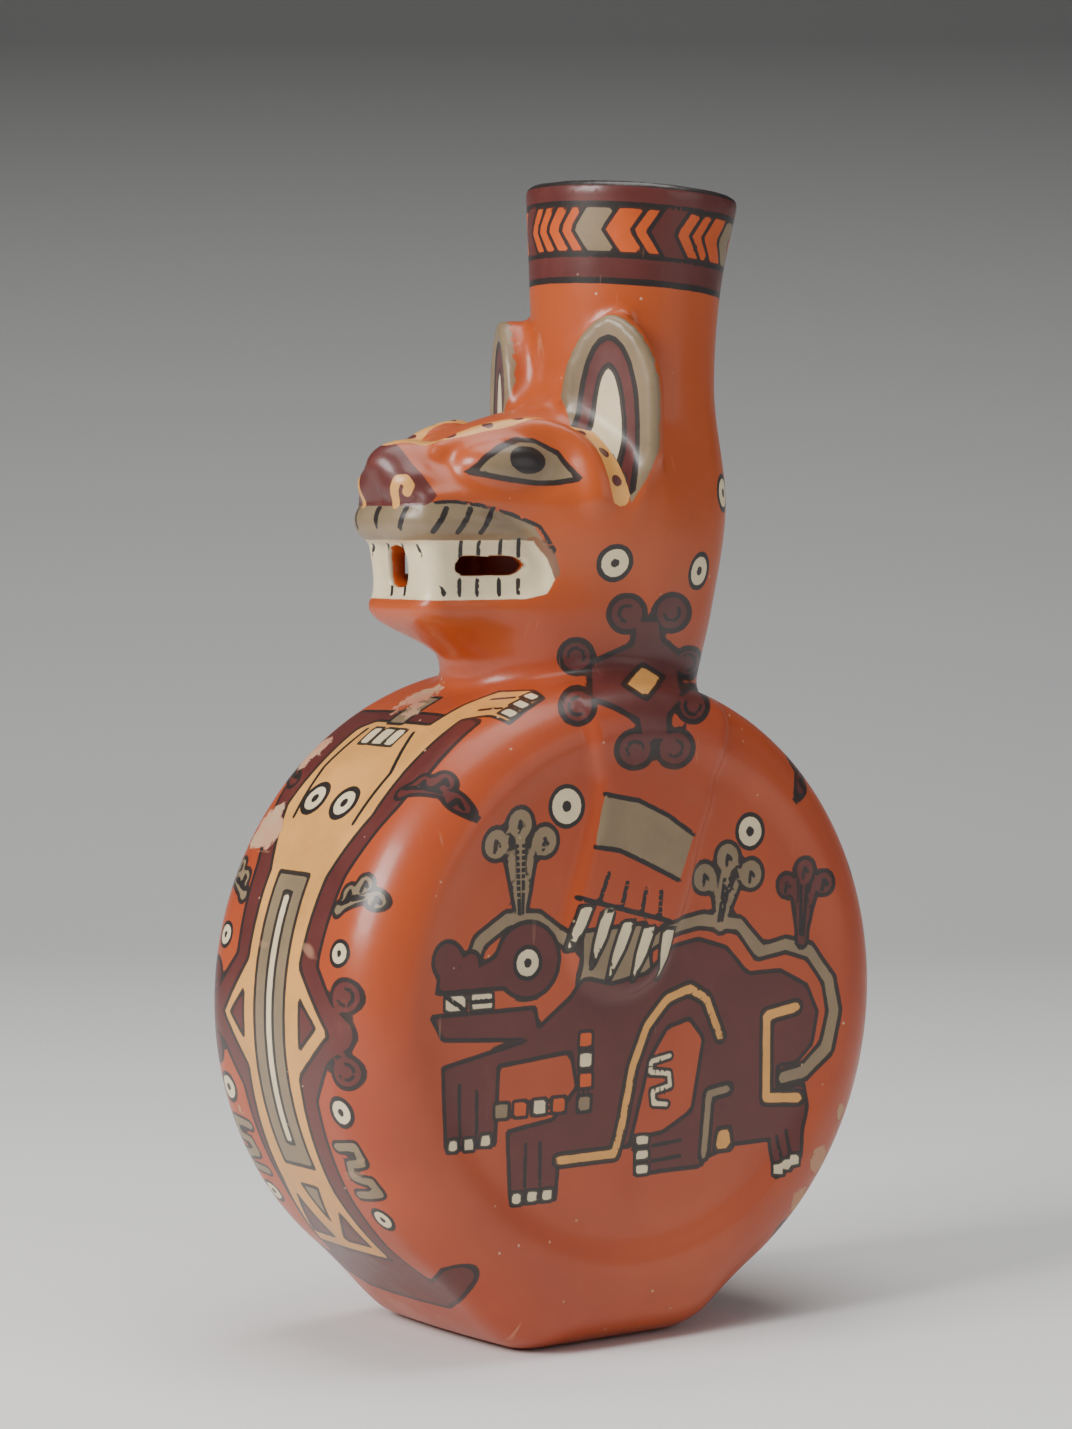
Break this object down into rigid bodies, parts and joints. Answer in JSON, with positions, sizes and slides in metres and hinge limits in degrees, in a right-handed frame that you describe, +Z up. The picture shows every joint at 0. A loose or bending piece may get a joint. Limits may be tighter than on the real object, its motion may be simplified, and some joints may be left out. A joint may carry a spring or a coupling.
{
  "type": "effigy bottle",
  "caption": "Upright disc-shaped pottery bottle whose spout rises from the back of a snarling animal's head with raised ears and open teeth.",
  "frame": {"origin": "middle of the underside that the bottle stands on, at the foot of the disc's centre plane", "axes": "+Z up along the spout, -Y the way the animal's head looks, X along the disc's axis, out of its two painted faces"},
  "size_m": [0.0926, 0.185, 0.3235],
  "materials": {
    "slipped_clay": "fired clay, burnished orange-red slip painted in black, maroon, grey, cream and tan"
  },
  "bodies": {
    "root": {"Bottle": "slipped_clay"}
  },
  "joints": []
}
